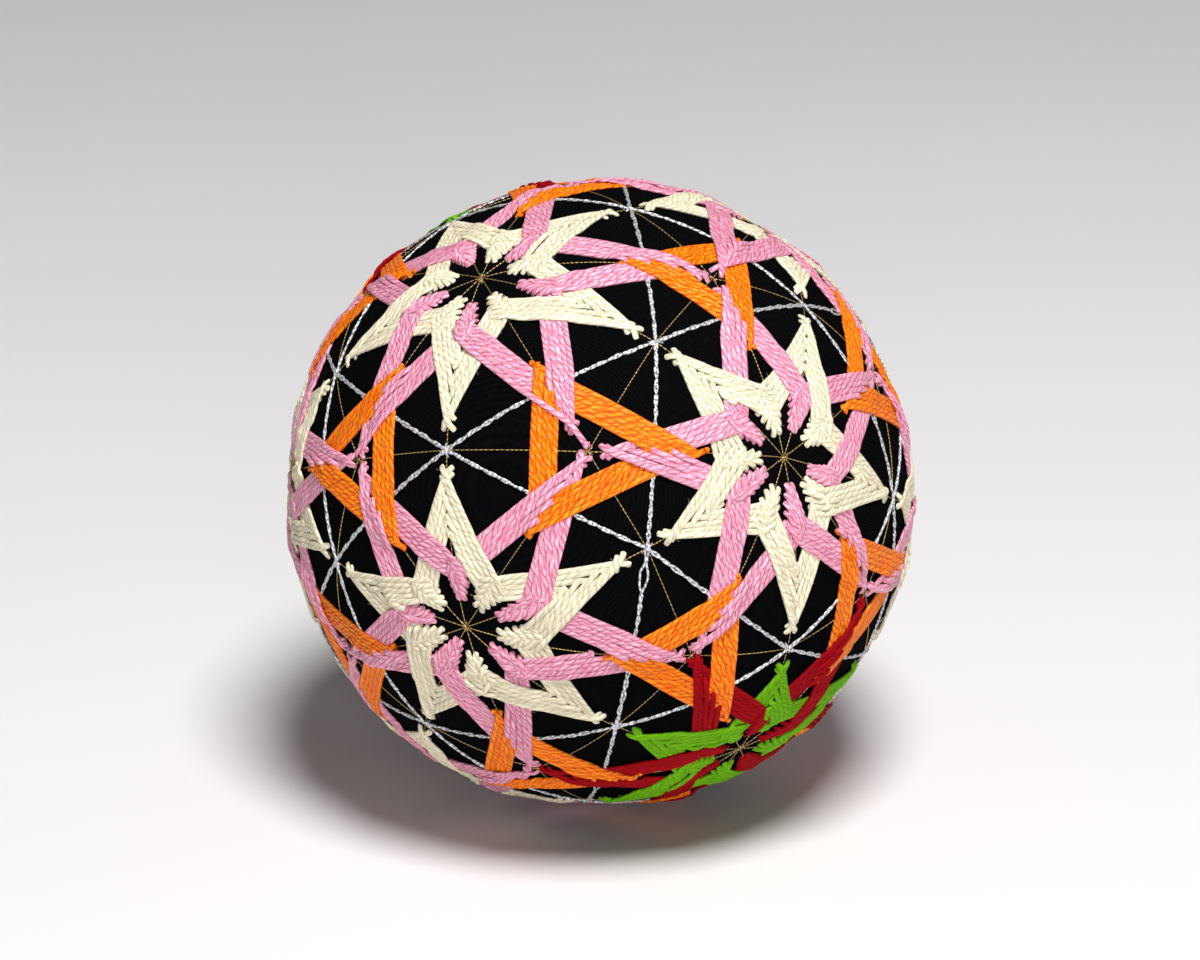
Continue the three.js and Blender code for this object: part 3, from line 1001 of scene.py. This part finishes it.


# The black winding: how its three layers of turns lie, and the scales of their waves,
# which put a turn every 0.27 to 0.35 mm. The turns' crowns carry a painted sheen,
# lighter than the black between them.
WINDING_TILTS = ((0.3, 0.9, 0.2), (1.2, 0.1, 0.7), (0.5, 0.4, 1.9))
WINDING_SCALES = (900, 1030, 1160)
WINDING_DARK = (0.0004, 0.0004, 0.0005)
WINDING_SHEEN = (0.0025, 0.0025, 0.003)
WINDING_RELIEF = 0.1 * MM


def winding_material(name):
    """The ball's ground: fine black thread wound in all directions, with a painted sheen along its
    turns.
    """
    material, tree, shader = new_material(name)
    place = tree.nodes.new("ShaderNodeTexCoord")
    heights = []
    for tilt, scale in zip(WINDING_TILTS, WINDING_SCALES):
        turn = tree.nodes.new("ShaderNodeMapping")
        turn.inputs["Rotation"].default_value = tilt
        tree.links.new(place.outputs["Object"], turn.inputs["Vector"])
        turns = tree.nodes.new("ShaderNodeTexWave")
        turns.inputs["Scale"].default_value = scale
        turns.inputs["Distortion"].default_value = 2.0
        turns.inputs["Detail"].default_value = 2.0
        turns.inputs["Detail Scale"].default_value = 0.4
        tree.links.new(turn.outputs["Vector"], turns.inputs["Vector"])
        heights.append(turns.outputs["Fac"])
    top = math_node(tree, "MAXIMUM", math_node(tree, "MAXIMUM", *heights[:2]), heights[2])
    # Painted sheen: the turns' crowns are lighter than the black between them.
    colour = mixed_colour(tree, top, WINDING_DARK, WINDING_SHEEN)
    tree.links.new(colour, shader.inputs["Base Color"])
    shader.inputs["Roughness"].default_value = 0.9
    shader.inputs["Specular IOR Level"].default_value = 0.01
    add_relief(tree, shader, top, WINDING_RELIEF)
    return material


def plain_material(name, colour, roughness):
    material, _, shader = new_material(name)
    shader.inputs["Base Color"].default_value = (*colour, 1.0)
    shader.inputs["Roughness"].default_value = roughness
    return material


# Each thread's groove colour is painted shade for the grooves between its plies, and its light
# colour a painted highlight on the plies' crowns.
CREAM = thread_material(
    "cream cotton", body=(0.72, 0.65, 0.46), deep=(0.36, 0.28, 0.15), light=(0.85, 0.80, 0.64),
    roughness=0.8, sheen=0.08, shine=0.15, bump=0.07 * MM, twist_length=3.0, groove_shade_strength=0.6,
)
GREEN = thread_material(
    "green cotton", body=(0.115, 0.35, 0.003), deep=(0.04, 0.16, 0.001), light=(0.19, 0.50, 0.01),
    roughness=0.8, sheen=0.0, shine=0.08, bump=0.05 * MM, twist_length=2.8, groove_shade_strength=0.45,
)
PINK = thread_material(
    "pink perle", body=(0.66, 0.145, 0.26), deep=(0.38, 0.05, 0.11), light=(0.98, 0.67, 0.80),
    roughness=0.4, sheen=0.02, shine=0.4, bump=0.09 * MM, twist_length=2.6, groove_shade_strength=0.65,
)
RED = thread_material(
    "dark red cotton", body=(0.27, 0.001, 0.004), deep=(0.11, 0.0005, 0.002),
    light=(0.38, 0.002, 0.010), roughness=0.8, sheen=0.0, shine=0.06, bump=0.05 * MM,
    twist_length=2.8, groove_shade_strength=0.4,
)
ORANGE = thread_material(
    "orange perle", body=(0.90, 0.09, 0.001), deep=(0.50, 0.024, 0.0005),
    light=(1.0, 0.46, 0.012), roughness=0.45, sheen=0.0, shine=0.15, bump=0.10 * MM,
    twist_length=2.8, groove_shade_strength=0.75,
)
BLACK = winding_material("black winding")
SILVER = metal_thread_material(
    "silver braid", bright=(0.92, 0.92, 0.94), dark=(0.20, 0.20, 0.22), roughness=0.28,
    metallic=0.5, twist_length=0.8,
)
GOLD = metal_thread_material(
    "gold thread", bright=(0.72, 0.52, 0.20), dark=(0.16, 0.09, 0.02), roughness=0.3,
    metallic=0.7, twist_length=0.6,
)

COLOURS = {
    "cream": (CREAM, "cream_thread"),
    "green": (GREEN, "green_thread"),
    "pink": (PINK, "pink_thread"),
    "red": (RED, "dark_red_thread"),
    "orange": (ORANGE, "orange_thread"),
}


# The pieces


def add_round_strand(parts, points, half_width, half_height, sides):
    """Adds a strand of a round or oval section, with a tint of its own."""
    rings = strand_rings(points, half_width, half_height, round_angles(sides))
    add_strand(parts, rings, chance())


def make_stitched_pieces():
    threads = []
    for name in sorted(EVEN):
        threads.extend(star_threads(name))
    for corners in triangle_corners():
        threads.extend(triangle_threads(corners))
    lay_threads(threads)
    gathered = {}
    for thread in threads:
        parts = gathered.setdefault(thread.piece, MeshParts())
        rings = strand_rings(
            centre_line(thread), THREAD_HALF_WIDTH, THREAD_HALF_HEIGHT, STRAND_ANGLES
        )
        add_strand(parts, rings, chance())
        if "cream" in thread.piece:
            add_loose_fibres(parts, thread)
        if thread.level == TRIANGLE and thread.order >= ROWS - 1:
            add_knot(parts, thread.way[0], CORNER_KNOT)
        if thread.level == TOP:
            add_knot(parts, thread.way[-1], END_KNOT)
    for node, parts in gathered.items():
        material, slot = COLOURS[node.split("_")[0]]
        finished(make_mesh_object(node + "_threads", parts, material), slot, node)


@dataclass
class Knot:
    """A knot's size, and how high its middle lies over the winding."""

    lift: float
    size: float


CORNER_KNOT = Knot(lift=0.336 * MM, size=0.42 * MM)
END_KNOT = Knot(lift=0.42 * MM, size=0.588 * MM)
KNOT_RINGS = 6
KNOT_SIDES = 8
KNOT_LEAST_RIM = 0.02
KNOT_LUMPS = 3
KNOT_LUMP_SIZE = 0.12
KNOT_FLATNESS = 0.8


def add_knot(parts, place, knot):
    """A small round knot where a thread was fastened off."""
    centre = on_ball(place[None, :], np.array([knot.lift]))[0]
    rises = np.sin(np.linspace(-math.pi / 2, math.pi / 2, KNOT_RINGS))
    rims = np.sqrt(np.maximum(KNOT_LEAST_RIM, 1 - rises ** 2))
    turns = round_angles(KNOT_SIDES)
    wave = 1 + KNOT_LUMP_SIZE * np.sin(KNOT_LUMPS * turns)
    flat = np.cos(turns)[:, None] * right_of(place) + np.sin(turns)[:, None] * up_of(place)
    rings = [
        centre + knot.size * (flat * rim * wave[:, None] + place * rise * KNOT_FLATNESS)
        for rise, rim in zip(rises, rims)
    ]
    add_strand(parts, np.array(rings), chance())


HAIR_RADIUS = 0.018 * MM
HAIR_LENGTH = 0.55 * MM
HAIR_LENGTHS = (0.5, 1.6)
HAIR_LEAN = 0.8
HAIR_RISE = 0.35
HAIR_ROOT = THREAD_HALF_WIDTH * 0.7
HAIRS_PER_THREAD = 6


def add_loose_fibres(parts, thread):
    """Fine ends of cotton that stand off a thread's sides."""
    for _ in range(HAIRS_PER_THREAD):
        place = int(random_numbers.integers(2, len(thread.way) - 2))
        start, ahead = thread.way[place], thread.way[place + 1] - thread.way[place - 1]
        side = np.cross(ahead, start)
        side *= random_numbers.choice([-1.0, 1.0]) / np.linalg.norm(side)
        lean = unit(ahead) * hand(HAIR_LEAN)
        length = HAIR_LENGTH * chance(*HAIR_LENGTHS)
        reach = np.linspace(0, 1, 4)
        way = [
            moved(start, side + lean * (1 + share), HAIR_ROOT + length * share)
            for share in reach
        ]
        lift = chance(0, HAIR_RISE) * MM
        heights = thread.heights[place] + lift * reach
        points = pressed(on_ball(np.array(way), heights), heights)
        add_round_strand(parts, points, HAIR_RADIUS, HAIR_RADIUS, 3)


def make_wound_ball():
    """The ball's ground, with the flat spot under it."""
    bpy.ops.object.select_all(action="DESELECT")
    bpy.ops.mesh.primitive_uv_sphere_add(
        segments=96, ring_count=64, radius=BALL_RADIUS, location=tuple(BALL_CENTRE)
    )
    ball = bpy.context.active_object
    ball.name = "wound_ground"
    bpy.ops.object.transform_apply(location=True, rotation=True, scale=True)
    for vertex in ball.data.vertices:
        vertex.co.z = max(vertex.co.z, PRESSED_BALL_HEIGHT)
    ball.data.materials.append(BLACK)
    bpy.ops.object.shade_smooth()
    finished(ball, "black_thread", "wound_ball")


GOLD_RADIUS = 0.075 * MM
GOLD_SAMPLE = 0.9 * MM
SILVER_RADIUS = 0.12 * MM
SILVER_HALF_WIDTH = 0.168 * MM
SILVER_TWIST = 4.2 * MM
SILVER_TWIST_SPREAD = 0.05
SILVER_SPREAD = 0.16 * MM
SILVER_FLATNESS = 0.5
SILVER_WANDER = 0.07 * MM
SILVER_SAMPLE = 0.4 * MM
SILVER_SLACK = 0.9
SLACK_SHARE = 0.08

# One line whose strands have drifted well apart: where along it, as a share of its
# length, and how far apart, in spreads
SILVER_LOOSE = {("C", "BC"): (0.13, 2.9)}

TACK_REACH = 1.1 * MM
TACK_WANDER = 0.1 * MM
TACK_SAMPLE = 0.3 * MM
TACK_ARCH = 4.0
TACK_WIDTH = 1.3


def round_angles(sides):
    return np.arange(sides) * 2 * math.pi / sides


def add_tacks(parts, place, radius, count):
    """Small stitches over a mark, which hold the lines that cross there."""
    for _ in range(count):
        bearing = chance(0, 360)
        reach = TACK_REACH * (0.5 + 0.5 * chance())
        ends = [at_bearing(place, bearing + turn, reach / BALL_RADIUS) for turn in (0, 180)]
        middle = moved(place, right_of(place), hand(TACK_WANDER))
        way = arc_samples([ends[0], middle, ends[1]], TACK_SAMPLE)
        arch = np.sin(np.linspace(0, math.pi, len(way)))
        heights = (TACK_ARCH * arch - 1.0) * radius
        points = pressed(on_ball(way, heights), heights)
        add_round_strand(parts, points, radius * TACK_WIDTH, radius, 5)


def make_gold_marks():
    """Gold marking lines: every star's rays, and those from crossings to middles."""
    parts = MeshParts()
    lines = []
    for name in sorted(EVEN):
        around = neighbours(name)
        for place, other in enumerate(around):
            lines.append((STARS[name], shared_mark([name, other])))
            lines.append((STARS[name], shared_mark([name, other, around[(place + 1) % 5]])))
    for corners in triangle_corners():
        for place in range(3):
            pair = [corners[place], corners[(place + 1) % 3]]
            lines.append((shared_mark(pair), shared_mark(corners)))
    for start, end in lines:
        way = arc_samples([start, end], GOLD_SAMPLE)
        heights = np.full(len(way), GOLD_RADIUS)
        points = pressed(on_ball(way, heights), heights)
        add_round_strand(parts, points, GOLD_RADIUS, GOLD_RADIUS, 4)
    for name in sorted(EVEN):
        add_tacks(parts, STARS[name], GOLD_RADIUS, count=2)
    for corners in triangle_corners():
        add_tacks(parts, shared_mark(corners), GOLD_RADIUS, count=2)
    finished(make_mesh_object("gold_marking_threads", parts, GOLD), None)


def make_silver_marks():
    """Silver marking lines, doubled and twisted, from each crossing mark to the next."""
    parts = MeshParts()
    for name in sorted(EVEN):
        around = neighbours(name)
        for place, other in enumerate(around):
            start = shared_mark([name, other])
            end = shared_mark([name, around[(place + 1) % 5]])
            way = arc_samples([start, end], SILVER_SAMPLE)
            turns = np.arange(len(way)) * SILVER_SAMPLE / SILVER_TWIST
            turns += np.cumsum(random_numbers.normal(0, SILVER_TWIST_SPREAD, len(way)))
            heights = np.full(len(way), SILVER_RADIUS + SILVER_SPREAD * SILVER_FLATNESS)
            points = pressed(on_ball(way, heights), heights)
            _, side = strand_axes(points)
            out = units(points - BALL_CENTRE)
            shares = np.linspace(0, 1, len(way))[:, None]
            bulge = max(0.0, hand(SILVER_SLACK))
            bulge_place = chance()
            line = (name, mark_name([name, other]))
            if line in SILVER_LOOSE:
                bulge_place, bulge = SILVER_LOOSE[line]
            slack = bulge * np.exp(-((shares - bulge_place) / SLACK_SHARE) ** 2) * side
            for strand_side in (1, -1):
                angle = turns * 2 * math.pi + (0 if strand_side > 0 else math.pi)
                swing = np.cos(angle)[:, None] * side
                rise = np.sin(angle)[:, None] * out * SILVER_FLATNESS
                wander = random_numbers.normal(0, SILVER_WANDER, len(way))
                wander = np.convolve(wander, (0.25, 0.5, 0.25), mode="same")[:, None] * side
                strand = points + (swing + rise + strand_side * slack) * SILVER_SPREAD + wander
                add_round_strand(parts, strand, SILVER_HALF_WIDTH, SILVER_RADIUS, 5)
    for name in sorted(EVEN):
        for other in neighbours(name):
            if name < other:
                add_tacks(parts, shared_mark([name, other]), SILVER_RADIUS, count=3)
    finished(make_mesh_object("silver_marking_threads", parts, SILVER), None)


# Stage, light and camera

CAMERA_DISTANCE = 16 * BALL_RADIUS
CAMERA_TILT = 20.7
BALL_BELOW_AXIS = 0.145
LENS = 148.0


def make_camera():
    tilt, below = math.radians(CAMERA_TILT), math.radians(BALL_BELOW_AXIS)
    ahead = Vector((0, math.cos(tilt), -math.sin(tilt)))
    up = Vector((0, math.sin(tilt), math.cos(tilt)))
    to_ball = ahead * math.cos(below) - up * math.sin(below)
    data = bpy.data.cameras.new("camera")
    data.lens = LENS
    data.sensor_width = 36
    camera = bpy.data.objects.new("camera", data)
    camera.location = Vector(BALL_CENTRE) - to_ball * CAMERA_DISTANCE
    camera.rotation_euler = (math.pi / 2 - tilt, 0, 0)
    bpy.context.collection.objects.link(camera)
    bpy.context.scene.camera = camera


FLOOR_COLOUR = (0.75, 0.745, 0.755)
WORLD_STRENGTH = 0.10


def make_light(name, place, size, power, colour):
    data = bpy.data.lights.new(name, "AREA")
    data.shape = "DISK"
    data.size = size
    data.energy = power
    data.color = colour
    light = bpy.data.objects.new(name, data)
    light.location = place
    light.rotation_euler = (Vector(BALL_CENTRE) - Vector(place)).to_track_quat("-Z", "Y").to_euler()
    bpy.context.collection.objects.link(light)


def make_stage():
    bpy.ops.object.select_all(action="DESELECT")
    bpy.ops.mesh.primitive_plane_add(size=8)
    floor = bpy.context.active_object
    floor.name = "floor"
    floor.data.materials.append(plain_material("pale floor", FLOOR_COLOUR, 0.95))
    make_light("key", (0.11, -0.40, 0.94), 0.35, 13.2, (1.0, 0.99, 0.98))
    make_light("front", (0.15, -1.2, 0.20), 0.5, 5.4, (0.98, 0.99, 1.0))
    world = bpy.data.worlds.new("studio")
    world.use_nodes = True
    background = world.node_tree.nodes["Background"]
    background.inputs["Color"].default_value = (1, 1, 1, 1)
    background.inputs["Strength"].default_value = WORLD_STRENGTH
    bpy.context.scene.world = world
    bpy.context.scene.view_settings.view_transform = "Standard"


make_stitched_pieces()
make_wound_ball()
make_gold_marks()
make_silver_marks()
make_camera()
make_stage()
